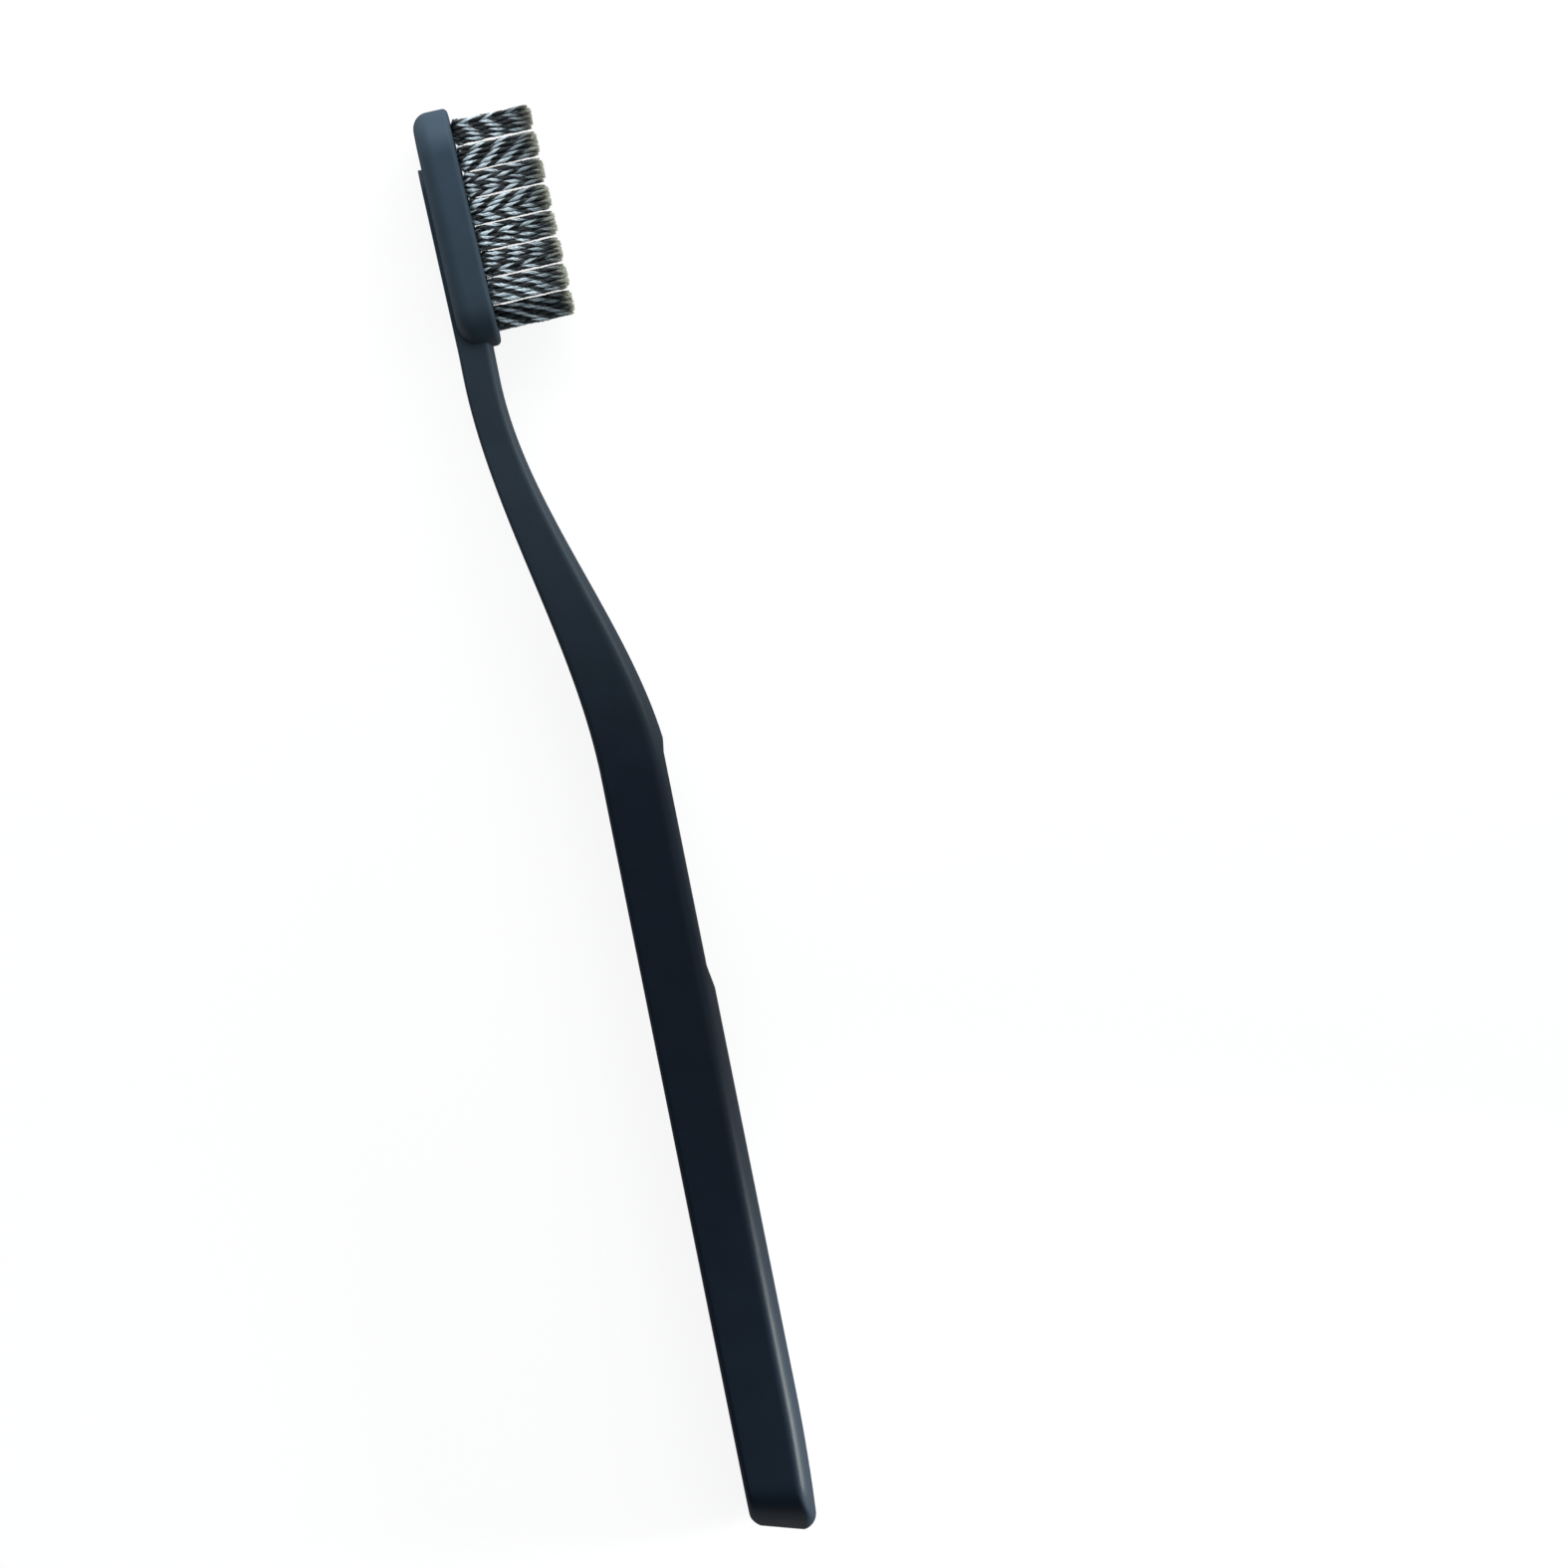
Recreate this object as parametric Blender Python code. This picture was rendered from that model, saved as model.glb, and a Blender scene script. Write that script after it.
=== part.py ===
# A toothbrush, lying on its side.
#
# Y runs along the handle towards the head, X points the way the bristles point, and Z is up,
# across the width of the brush. The handle, the bent neck and the head are one moulding. Each
# tuft of bristles is folded once round a small metal anchor, and both sit in a blind hole of
# the head.

import math

import bmesh
import bpy
from mathutils import Matrix, Vector

# Handle and neck, in metres.

STRAIGHT_LENGTH = 0.1009
BEND_LENGTH = 0.0545
NECK_LENGTH = 0.0031
BEND_DROP = 0.0073
FRONT_LEAD = 0.0011
HANDLE_THICKNESS = 0.0091
HANDLE_WIDTH = 0.01185
GRIP_TOP_WIDTH = 0.01025
NECK_THICKNESS = 0.0046
NECK_WIDTH = 0.00595
PARALLEL_LENGTH = 0.0277
NARROWING_LENGTH = 0.058
NARROWING_LEAD = 0.0082

# Butt end of the handle.

BUTT_SLANT = math.radians(16.4)
BUTT_BACK_CORNER = 0.0013
BUTT_FRONT_CORNER = 0.002
BUTT_TAPER_DEPTH = 0.0007
BUTT_TAPER_LENGTH = 0.018
BUTT_SLANT_PIVOT = 0.0005
BUTT_TIP = 0.00002

# Thumb recess in the front of the handle.

RECESS_DEPTH = 0.0005
RECESS_LENGTH = 0.0316
RECESS_WIDTH = 0.0092
RECESS_LEAD = 0.0031

# Head, with the low spine that carries the neck on along its back.

HEAD_LENGTH = 0.0315
HEAD_WIDTH = 0.01185
HEAD_THICKNESS = 0.0052
HEAD_BACK_ROUND = 0.0025
HEAD_FRONT_ROUND = 0.0007
HEAD_TILT = math.radians(1.24)
SPINE_HEIGHT = 0.00055
SPINE_TIP_MARGIN = 0.007

# Tufts, their holes and their anchors.

TUFTS_IN_ROW = (2, 4, 4, 4, 4, 4, 4, 2)
END_MARGIN = 0.00345
SIDE_MARGIN = 0.002
HOLE_DIAMETER = 0.0019
HOLE_DEPTH = 0.0033
SEAT_GAP = 0.0002
BRISTLE_HEIGHT = 0.0103
ROW_GAP = 0.0003
COLUMN_GAP = 0.0003
FLARE_HEIGHT = 0.0011
FLARE_SHARE = 0.93
STRAND_GAP = 0.00006
STRANDS_IN_RINGS = (4, 8)
STRAND_RING_SHARES = (0.32, 0.74)
STRAND_TURN = math.radians(40)
TUFT_SWIRL = math.radians(12)
ANCHOR_THICKNESS = 0.00025
ANCHOR_HEIGHT = 0.0013
ANCHOR_TURN = math.radians(30)
FOLD_THICKNESS = 0.0004

# Shape of a cross-section: the front is crowned, and the sides and the back are flat.

CROWN_EXPONENT = 3.0
FRONT_ROUND_SHARE = 0.22
BACK_ROUND_SHARE = 0.09
BUTT_FADE_SHARE = 2.0
NECK_STOP_SHARE = 0.6
SPINE_START_SHARE = 0.85

# Fineness of the surfaces.

CROWN_STEPS = 14
BACK_ROUND_STEPS = 3
BUTT_STEPS = 8
BEND_STEPS = 24
SPINE_END_STEPS = 5
HEAD_END_STEPS = 20
HEAD_ROUND_STEPS = 6
RECESS_END_STEPS = 12
HOLE_SIDES = 16
ROOT_SIDES = 12
SHARP_ANGLE = math.radians(35)

# Finishes: colour, roughness and metallic value.

BODY_FINISH = ("charcoal_plastic", (0.008, 0.012, 0.018), 0.45, 0.0)
DARK_FINISH = ("black_bristle", (0.012, 0.014, 0.016), 0.4, 0.0)
LIGHT_FINISH = ("white_bristle", (0.75, 0.79, 0.80), 0.35, 0.0)
ANCHOR_FINISH = ("nickel_silver", (0.62, 0.58, 0.5), 0.3, 1.0)

# Sizes that follow from the ones above.

HEAD_ROOT = STRAIGHT_LENGTH + BEND_LENGTH + NECK_LENGTH
HEAD_TIP = HEAD_ROOT + HEAD_LENGTH
NARROWING_START = STRAIGHT_LENGTH - NARROWING_LEAD
BUTT_RADIUS = HANDLE_WIDTH / 2
NECK_BACK = -BEND_DROP
SPINE_FRONT_RISE = SPINE_HEIGHT + (HEAD_THICKNESS - HOLE_DEPTH) / 2
ROOT_WALL = END_MARGIN - HOLE_DIAMETER / 2
NECK_STOP = HEAD_ROOT + ROOT_WALL * NECK_STOP_SHARE
SPINE_START = HEAD_ROOT + ROOT_WALL * SPINE_START_SHARE
SPINE_END = HEAD_TIP - SPINE_TIP_MARGIN
SPINE_END_RADIUS = NECK_WIDTH / 2
ROW_PITCH = (HEAD_LENGTH - 2 * END_MARGIN) / (len(TUFTS_IN_ROW) - 1)
COLUMN_PITCH = (HEAD_WIDTH - 2 * SIDE_MARGIN) / (max(TUFTS_IN_ROW) - 1)
ROOT_RADIUS = HOLE_DIAMETER / 2 - SEAT_GAP
ROOT_DEPTH = HOLE_DEPTH - SEAT_GAP
TUFT_HALF_LENGTH = (ROW_PITCH - ROW_GAP) / 2
TUFT_HALF_WIDTH = (COLUMN_PITCH - COLUMN_GAP) / 2
FLARE_HALF_LENGTH = TUFT_HALF_LENGTH * FLARE_SHARE
FLARE_HALF_WIDTH = TUFT_HALF_WIDTH * FLARE_SHARE
INNER_STRAND_OFFSET = FLARE_HALF_WIDTH * STRAND_RING_SHARES[0] * math.sin(math.pi / 4)
STRAND_RADIUS = INNER_STRAND_OFFSET - STRAND_GAP / 2
TIP_HALF_LENGTH = (TUFT_HALF_LENGTH - STRAND_RADIUS) / STRAND_RING_SHARES[-1]
TIP_HALF_WIDTH = (TUFT_HALF_WIDTH - STRAND_RADIUS) / STRAND_RING_SHARES[-1]
ANCHOR_DEPTH = ROOT_DEPTH - FOLD_THICKNESS - SEAT_GAP
CUT_OVERRUN = HEAD_THICKNESS / 4


def clear_scene():
    for item in list(bpy.data.objects):
        bpy.data.objects.remove(item)


def finish(settings):
    """Return the Principled material with the given name, colour, roughness and metallic."""
    name, colour, roughness, metallic = settings
    material = bpy.data.materials.get(name)
    if material is None:
        material = bpy.data.materials.new(name)
        material.use_nodes = True
        shader = material.node_tree.nodes["Principled BSDF"]
        shader.inputs["Base Color"].default_value = (*colour, 1.0)
        shader.inputs["Roughness"].default_value = roughness
        shader.inputs["Metallic"].default_value = metallic
        material.diffuse_color = (*colour, 1.0)
    return material


def add_object(name, mesh, parent, place=Matrix.Identity(4)):
    """Link a mesh as an object under its parent, at a place in the parent's frame."""
    item = bpy.data.objects.new(name, mesh)
    bpy.context.scene.collection.objects.link(item)
    item.parent = parent
    item.matrix_local = place
    return item


def mark_as_cutter(item):
    item.hide_render = True
    item.display_type = "WIRE"


def mesh_from(bm, name, materials):
    """Close a bmesh into a mesh that is shaded smooth up to its sharp edges."""
    bmesh.ops.recalc_face_normals(bm, faces=bm.faces)
    mesh = bpy.data.meshes.new(name)
    bm.to_mesh(mesh)
    bm.free()
    for material in materials:
        mesh.materials.append(material)
    mesh.shade_smooth()
    mesh.set_sharp_from_angle(angle=SHARP_ANGLE)
    return mesh


def skin_rings(bm, rings):
    """Join a row of equal closed rings of points into a skin with flat ends."""
    loops = [[bm.verts.new(point) for point in ring] for ring in rings]
    count = len(loops[0])
    for lower, upper in zip(loops, loops[1:]):
        for index in range(count):
            after = (index + 1) % count
            bm.faces.new((lower[index], lower[after], upper[after], upper[index]))
    bm.faces.new(loops[0])
    bm.faces.new(loops[-1])


def ease(value, start, length):
    """Rise smoothly from 0 to 1 while a value runs from start to start plus length."""
    share = min(max((value - start) / length, 0.0), 1.0)
    return share * share * (3.0 - 2.0 * share)


def mix(first, second, share):
    return first + (second - first) * share


def corner_inset(distance, radius):
    """How far a rounded corner has drawn in at a distance from the end that it rounds."""
    if distance >= radius:
        return 0.0
    return radius - math.sqrt(radius ** 2 - (radius - distance) ** 2)


def half_width_at(y):
    """Half the width of the handle and the neck."""
    taper_length = NARROWING_START - PARALLEL_LENGTH
    taper_share = min(max((y - PARALLEL_LENGTH) / taper_length, 0.0), 1.0)
    grip = mix(HANDLE_WIDTH, GRIP_TOP_WIDTH, taper_share)
    width = mix(grip, NECK_WIDTH, ease(y, NARROWING_START, NARROWING_LENGTH))
    half = width / 2
    if y < BUTT_RADIUS:
        half = math.sqrt(BUTT_RADIUS ** 2 - (BUTT_RADIUS - y) ** 2)
    if y > SPINE_END - SPINE_END_RADIUS:
        reach = y - (SPINE_END - SPINE_END_RADIUS)
        half = math.sqrt(SPINE_END_RADIUS ** 2 - reach ** 2)
    return half


def back_at(y):
    """Back line of the handle, the neck and the spine, in the side view."""
    handle = corner_inset(y, BUTT_BACK_CORNER)
    bend = NECK_BACK * ease(y, STRAIGHT_LENGTH, BEND_LENGTH)
    lean = math.tan(HEAD_TILT) * max(y - HEAD_ROOT, 0.0)
    return handle + bend - lean


def front_at(y):
    """Front line of the handle and the neck. Inside the head it drops below the holes."""
    if y > NECK_STOP:
        return back_at(y) + SPINE_FRONT_RISE
    taper = BUTT_TAPER_DEPTH * max(1 - y / BUTT_TAPER_LENGTH, 0.0) ** 2
    handle = HANDLE_THICKNESS - corner_inset(y, BUTT_FRONT_CORNER) - taper
    neck = NECK_BACK + NECK_THICKNESS
    return mix(handle, neck, ease(y, STRAIGHT_LENGTH - FRONT_LEAD, BEND_LENGTH))


def section(y):
    """One cross-section: a crowned front, flat sides and a flat back with small rounds."""
    half = half_width_at(y)
    back = back_at(y)
    front = front_at(y)
    round_depth = (front - back) * FRONT_ROUND_SHARE
    back_round = min((front - back) * BACK_ROUND_SHARE, half / 2)
    outline = []
    for step in range(CROWN_STEPS + 1):
        angle = math.pi * step / CROWN_STEPS
        across = math.copysign(abs(math.cos(angle)) ** (2 / CROWN_EXPONENT), math.cos(angle))
        rise = math.sin(angle) ** (2 / CROWN_EXPONENT)
        outline.append((front - round_depth * (1 - rise), half * across))
    for side in (-1, 1):
        corner = []
        for step in range(BACK_ROUND_STEPS + 1):
            angle = math.pi / 2 * step / BACK_ROUND_STEPS
            depth = back + back_round * (1 - math.sin(angle))
            across = half - back_round * (1 - math.cos(angle))
            corner.append((depth, side * across))
        outline.extend(corner if side < 0 else reversed(corner))
    fade = max(1 - y / (BUTT_RADIUS * BUTT_FADE_SHARE), 0.0)
    slant = math.tan(BUTT_SLANT) * fade
    pivot = front - BUTT_SLANT_PIVOT
    return [Vector((x, y + slant * (pivot - x), z)) for x, z in outline]


def handle_stations():
    """Places of the cross-sections, close together where the shape turns quickly."""
    butt = [BUTT_TIP] + [
        BUTT_RADIUS * (1 - math.cos(math.pi / 2 * step / BUTT_STEPS))
        for step in range(1, BUTT_STEPS + 1)
    ]
    grip = [BUTT_RADIUS * BUTT_FADE_SHARE, PARALLEL_LENGTH, NARROWING_START]
    bend_end = STRAIGHT_LENGTH + BEND_LENGTH
    bend = [
        mix(NARROWING_START, bend_end, step / BEND_STEPS)
        for step in range(1, BEND_STEPS + 1)
    ]
    spine_shoulder = SPINE_END - SPINE_END_RADIUS
    spine = [HEAD_ROOT, NECK_STOP, SPINE_START, spine_shoulder]
    spine_end = [
        spine_shoulder + SPINE_END_RADIUS * math.sin(math.pi / 2 * step / (SPINE_END_STEPS + 1))
        for step in range(1, SPINE_END_STEPS + 1)
    ]
    return butt + grip + bend + spine + spine_end


def head_outline(inset):
    """Outline of the head seen from the front: straight sides and half-round ends."""
    radius = HEAD_WIDTH / 2
    points = []
    for centre_y, start in ((HEAD_LENGTH - radius, 0.0), (radius, math.pi)):
        for step in range(HEAD_END_STEPS + 1):
            angle = start + math.pi * step / HEAD_END_STEPS
            reach = radius - inset
            points.append((centre_y + reach * math.sin(angle), reach * math.cos(angle)))
    return points


def head_mesh():
    """The head's block, rounded widely at the back and narrowly at the front."""
    levels = []
    for step in range(HEAD_ROUND_STEPS + 1):
        angle = math.pi / 2 * step / HEAD_ROUND_STEPS
        inset = HEAD_BACK_ROUND * (1 - math.sin(angle))
        levels.append((HEAD_BACK_ROUND * (1 - math.cos(angle)), inset))
    for step in range(HEAD_ROUND_STEPS + 1):
        angle = math.pi / 2 * step / HEAD_ROUND_STEPS
        height = HEAD_THICKNESS - HEAD_FRONT_ROUND * (1 - math.sin(angle))
        levels.append((height, HEAD_FRONT_ROUND * (1 - math.cos(angle))))
    rings = [[Vector((x, y, z)) for y, z in head_outline(inset)] for x, inset in levels]
    bm = bmesh.new()
    skin_rings(bm, rings)
    return mesh_from(bm, "head_form", [finish(BODY_FINISH)])


def head_place():
    """The head's frame: its origin is at the root of the head, on the flat of its back."""
    root = Vector((NECK_BACK + SPINE_HEIGHT, HEAD_ROOT, 0.0))
    return Matrix.Translation(root) @ Matrix.Rotation(HEAD_TILT, 4, "Z")


def tuft_sites():
    """Name suffix and place, in the head's frame, of each tuft on the front face."""
    sites = []
    for row, count in enumerate(TUFTS_IN_ROW):
        y = HEAD_LENGTH - END_MARGIN - row * ROW_PITCH
        for column in range(count):
            z = (column - (count - 1) / 2) * COLUMN_PITCH
            sites.append((f"r{row + 1}_c{column + 1}", Vector((HEAD_THICKNESS, y, z))))
    return sites


def hole_cutter_mesh():
    """All the blind holes as one cutter of separate round prisms."""
    bm = bmesh.new()
    turn = Matrix.Rotation(math.pi / 2, 4, "Y")
    height = HOLE_DEPTH + CUT_OVERRUN
    for _, site in tuft_sites():
        middle = site + Vector((CUT_OVERRUN - height / 2, 0.0, 0.0))
        bmesh.ops.create_cone(
            bm,
            cap_ends=True,
            segments=HOLE_SIDES,
            radius1=HOLE_DIAMETER / 2,
            radius2=HOLE_DIAMETER / 2,
            depth=height,
            matrix=Matrix.Translation(middle) @ turn,
        )
    return mesh_from(bm, "tuft_hole_cutter", [])


def recess_cutter_mesh():
    """A shallow cutter with half-round ends, whose floor is the flat of the thumb recess."""
    floor = HANDLE_THICKNESS - RECESS_DEPTH
    top = HANDLE_THICKNESS + RECESS_DEPTH
    head_end = STRAIGHT_LENGTH + RECESS_LEAD
    radius = RECESS_WIDTH / 2
    outline = []
    for centre_y, start in ((head_end - radius, 0.0), (head_end - RECESS_LENGTH + radius, math.pi)):
        for step in range(RECESS_END_STEPS + 1):
            angle = start + math.pi * step / RECESS_END_STEPS
            outline.append((centre_y + radius * math.sin(angle), radius * math.cos(angle)))
    bm = bmesh.new()
    skin_rings(bm, [[Vector((x, y, z)) for y, z in outline] for x in (floor, top)])
    return mesh_from(bm, "recess_cutter", [])


def combine(item, others, operation):
    """Cut other objects out of an object's mesh or join them to it, and drop the others."""
    for other in others:
        mark_as_cutter(other)
        modifier = item.modifiers.new(other.name, "BOOLEAN")
        modifier.operation = operation
        modifier.solver = "EXACT"
        modifier.object = other
    evaluated = item.evaluated_get(bpy.context.evaluated_depsgraph_get())
    mesh = bpy.data.meshes.new_from_object(evaluated)
    mesh.shade_smooth()
    mesh.set_sharp_from_angle(angle=SHARP_ANGLE)
    item.modifiers.clear()
    item.data = mesh
    for other in others:
        bpy.data.objects.remove(other)


def make_body(frame):
    """Handle, neck and head in one moulding, with the tuft holes and the recess cut out."""
    bm = bmesh.new()
    skin_rings(bm, [section(y) for y in handle_stations()])
    body = add_object("brush_body", mesh_from(bm, "brush_body", [finish(BODY_FINISH)]), frame)
    head = add_object("head_form", head_mesh(), frame, head_place())
    holes = add_object("tuft_hole_cutter", hole_cutter_mesh(), frame, head_place())
    recess = add_object("recess_cutter", recess_cutter_mesh(), frame)
    combine(head, [holes], "DIFFERENCE")
    combine(body, [head], "UNION")
    combine(body, [recess], "DIFFERENCE")


def oval_point(height, half_length, half_width, angle, share=1.0):
    """A point of a tuft's oval outline at a height above the face of the head."""
    y = half_length * share * math.cos(angle)
    z = half_width * share * math.sin(angle)
    return Vector((height, y, z))


def strand_places():
    """Ring share and angle of each strand of a tuft."""
    places = []
    for count, share in zip(STRANDS_IN_RINGS, STRAND_RING_SHARES):
        for step in range(count):
            places.append((share, math.tau * (step + 0.5) / count))
    return places


def strand_loop(bm, middle, radius, turn):
    """Four corners of a strand about its middle, and the closed edges between them."""
    corners = []
    for step in range(4):
        corner = oval_point(0.0, radius, radius, turn + math.tau * step / 4)
        corners.append(bm.verts.new(middle + corner))
    edges = [bm.edges.new((corners[step - 1], corners[step])) for step in range(4)]
    return corners, edges


def tuft_form():
    """A packed root that flares above its hole into strands, on the head's face."""
    bm = bmesh.new()
    levels = (
        (-ROOT_DEPTH, ROOT_RADIUS, ROOT_RADIUS),
        (0.0, ROOT_RADIUS, ROOT_RADIUS),
        (FLARE_HEIGHT, FLARE_HALF_LENGTH, FLARE_HALF_WIDTH),
    )
    rings = [
        [
            oval_point(height, half_length, half_width, math.tau * step / ROOT_SIDES)
            for step in range(ROOT_SIDES)
        ]
        for height, half_length, half_width in levels
    ]
    skin_rings(bm, rings)
    top = max(bm.faces, key=lambda face: face.calc_center_median().x)
    top_edges = list(top.edges)
    bm.faces.remove(top)
    light_faces = []
    for index, (share, angle) in enumerate(strand_places()):
        base = oval_point(FLARE_HEIGHT, FLARE_HALF_LENGTH, FLARE_HALF_WIDTH, angle, share)
        turned = angle + TUFT_SWIRL
        tip = oval_point(BRISTLE_HEIGHT, TIP_HALF_LENGTH, TIP_HALF_WIDTH, turned, share)
        base_corners, base_edges = strand_loop(bm, base, STRAND_RADIUS, angle + STRAND_TURN)
        tip_corners, _ = strand_loop(bm, tip, STRAND_RADIUS, turned + STRAND_TURN)
        top_edges.extend(base_edges)
        faces = [bm.faces.new(tip_corners)]
        for step in range(4):
            before = step - 1
            wall = (base_corners[before], base_corners[step], tip_corners[step], tip_corners[before])
            faces.append(bm.faces.new(wall))
        if index % 2:
            light_faces.extend(faces)
    out = Vector((1.0, 0.0, 0.0))
    bmesh.ops.triangle_fill(bm, use_beauty=True, edges=top_edges, normal=out)
    for face in light_faces:
        face.material_index = 1
    return mesh_from(bm, "tuft_form", [finish(DARK_FINISH), finish(LIGHT_FINISH)])


def box_mesh(name, size, middle, materials):
    """A box of a given size, turned as the anchors are."""
    bm = bmesh.new()
    stretch = Matrix.Diagonal((*size, 1.0))
    turn = Matrix.Rotation(ANCHOR_TURN, 4, "X")
    bmesh.ops.create_cube(bm, size=1.0, matrix=turn @ Matrix.Translation(middle) @ stretch)
    return mesh_from(bm, name, materials)


def anchor_mesh():
    """The flat metal piece that holds the fold of a tuft down in its hole."""
    middle = Vector((-ANCHOR_DEPTH + ANCHOR_HEIGHT / 2, 0.0, 0.0))
    size = (ANCHOR_HEIGHT, ANCHOR_THICKNESS, 2 * ROOT_RADIUS)
    return box_mesh("anchor", size, middle, [finish(ANCHOR_FINISH)])


def tuft_mesh():
    """The tuft with the window in its fold where the anchor lies."""
    form = add_object("tuft_form", tuft_form(), None)
    middle = Vector((-ANCHOR_DEPTH + ANCHOR_HEIGHT / 2, 0.0, 0.0))
    size = (ANCHOR_HEIGHT + 2 * SEAT_GAP, ANCHOR_THICKNESS + 2 * SEAT_GAP, 3 * ROOT_RADIUS)
    window = add_object("window_cutter", box_mesh("window_cutter", size, middle, []), None)
    combine(form, [window], "DIFFERENCE")
    mesh = form.data
    mesh.name = "tuft"
    bpy.data.objects.remove(form)
    return mesh


def make_tufts(frame):
    """A tuft and its anchor in every hole, numbered from the tip of the head."""
    tuft = tuft_mesh()
    anchor = anchor_mesh()
    for suffix, site in tuft_sites():
        place = head_place() @ Matrix.Translation(site)
        add_object(f"tuft_{suffix}", tuft, frame, place)
        add_object(f"anchor_{suffix}", anchor, frame, place)


def stand_on_origin(frame, items):
    """Move the whole brush so that the origin is under the middle of its box."""
    bpy.context.view_layer.update()
    points = []
    for item in items:
        points.extend(item.matrix_world @ vertex.co for vertex in item.data.vertices)
    low = Vector(min(point[axis] for point in points) for axis in range(3))
    high = Vector(max(point[axis] for point in points) for axis in range(3))
    middle = (low + high) / 2
    frame.location = Vector((-middle.x, -middle.y, -low.z))


def main():
    clear_scene()
    frame = bpy.data.objects.new("brush_frame", None)
    bpy.context.scene.collection.objects.link(frame)
    make_body(frame)
    make_tufts(frame)
    stand_on_origin(frame, [item for item in bpy.data.objects if item.type == "MESH"])


main()
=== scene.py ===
# %% [markdown]
# # A toothbrush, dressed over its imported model
#
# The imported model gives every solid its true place, in metres. Y runs along the handle
# towards the head, X points the way the bristles point, and Z is up, across the brush as it
# lies on its side. The moulding and the bristles are modelled again here, finer than in the
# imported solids, and the metal anchors stay as they are and get a finish.
#
# Nothing moves on this object, so every piece rides on the one body, "root".

# %% Load the frame
import math
import random

import bmesh
import bpy
from mathutils import Matrix, Vector


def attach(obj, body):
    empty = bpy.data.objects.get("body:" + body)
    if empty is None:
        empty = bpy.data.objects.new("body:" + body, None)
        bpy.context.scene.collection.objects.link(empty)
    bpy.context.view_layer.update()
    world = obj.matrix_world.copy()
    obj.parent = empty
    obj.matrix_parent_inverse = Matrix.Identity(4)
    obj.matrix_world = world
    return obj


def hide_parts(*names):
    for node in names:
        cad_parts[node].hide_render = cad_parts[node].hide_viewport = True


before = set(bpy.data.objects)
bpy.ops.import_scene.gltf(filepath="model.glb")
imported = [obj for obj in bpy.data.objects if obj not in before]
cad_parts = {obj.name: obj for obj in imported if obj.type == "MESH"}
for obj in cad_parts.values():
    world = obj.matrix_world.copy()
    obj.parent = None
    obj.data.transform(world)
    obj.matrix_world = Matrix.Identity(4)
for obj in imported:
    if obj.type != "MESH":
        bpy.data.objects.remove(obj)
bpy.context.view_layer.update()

# %% [markdown]
# Every piece below is made the way a hand would make it: a primitive, then edit mode, then
# modifiers that are applied. Three small helpers do what a mouse would: take objects in hand,
# pick some points, edges or faces by where they lie, and let go of a piece with its place and
# turn written into the mesh. Numbers of faces change when an earlier step changes, and places
# don't, so everything is picked by place.


# %% Helpers for working by hand
def take(*pieces):
    """Select these objects alone. The first one is active."""
    bpy.ops.object.select_all(action="DESELECT")
    for piece in pieces:
        piece.select_set(True)
    bpy.context.view_layer.objects.active = pieces[0]


def pick(piece, kind, test):
    """In edit mode, select the verts, edges or faces whose points pass a test."""
    bpy.ops.mesh.select_mode(type={"verts": "VERT", "edges": "EDGE", "faces": "FACE"}[kind])
    bpy.ops.mesh.select_all(action="DESELECT")
    shape = bmesh.from_edit_mesh(piece.data)
    for item in getattr(shape, kind):
        points = [item.co] if kind == "verts" else [vert.co for vert in item.verts]
        item.select_set(test(points))
    shape.select_flush_mode()
    bmesh.update_edit_mesh(piece.data)


def settle(piece, name):
    """Name a piece and write its place, turn and scale into its mesh."""
    take(piece)
    piece.name = name
    piece.data.name = name
    bpy.ops.object.transform_apply(location=True, rotation=True, scale=True)
    return piece


# %% [markdown]
# Two more helpers work on the mesh that is in hand. Bevels that meet leave points on top of
# each other, which would spoil a Boolean later, so they are merged. And each step ends with a
# line that says how large the piece came out.

# %% Helpers for clean meshes
MERGE = 1e-6


def merge_doubles():
    """In edit mode, make one point of those that lie on top of each other."""
    bpy.ops.mesh.select_all(action="SELECT")
    bpy.ops.mesh.remove_doubles(threshold=MERGE)


def told(piece):
    """Say how large a piece is and how many faces it has."""
    size = [round(value * 1000, 2) for value in piece.dimensions]
    print(piece.name, "mm:", size, "faces:", len(piece.data.polygons))


# %% [markdown]
# ## The moulding: handle, bent neck and head
#
# The real brush is one shot of plastic. Its handle is a bar with a flat back, flat sides and
# a crowned front, and in the side view the bar thins and steps back through a long bend into
# the neck. It could be cut from a block or swept along a curve. Here all cross-sections are
# the same outline, only wider or thicker, so the outline is drawn once and then extruded from
# one cross-section to the next, which keeps the long faces even.
#
# The sizes are in metres, along the brush from its butt and away from the flat of its back.
# ORIGIN is the place in the frame where both are zero.

# %% Sizes of the moulding
ORIGIN = Vector((-0.000636, -0.0949815, 0.005925))
BRUSH_LONG = 0.19
THICK, WIDE, GRIP_TOP_WIDE = 0.00907, 0.01185, 0.01025
NECK_THICK, NECK_WIDE = 0.0046, 0.00595
PARALLEL_TO, NECK_FROM, NECK_LONG = 0.0277, 0.0927, 0.058
BEND_START, BEND_LONG, BEND_DROP, FRONT_LEAD = 0.1009, 0.0545, 0.0073, 0.0011
BACK_CORNER, FRONT_CORNER = 0.0013, 0.002
BUTT_TAPER_DEEP, BUTT_TAPER_LONG = 0.0007, 0.018
HEAD_ROOT, HEAD_LONG, HEAD_WIDE, HEAD_THICK = 0.1585, 0.0315, 0.01185, 0.0052
HEAD_TILT, HOLE_DEEP = math.radians(1.24), 0.0033
SPINE_RISE, SPINE_TO = 0.00055, 0.1829
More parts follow.
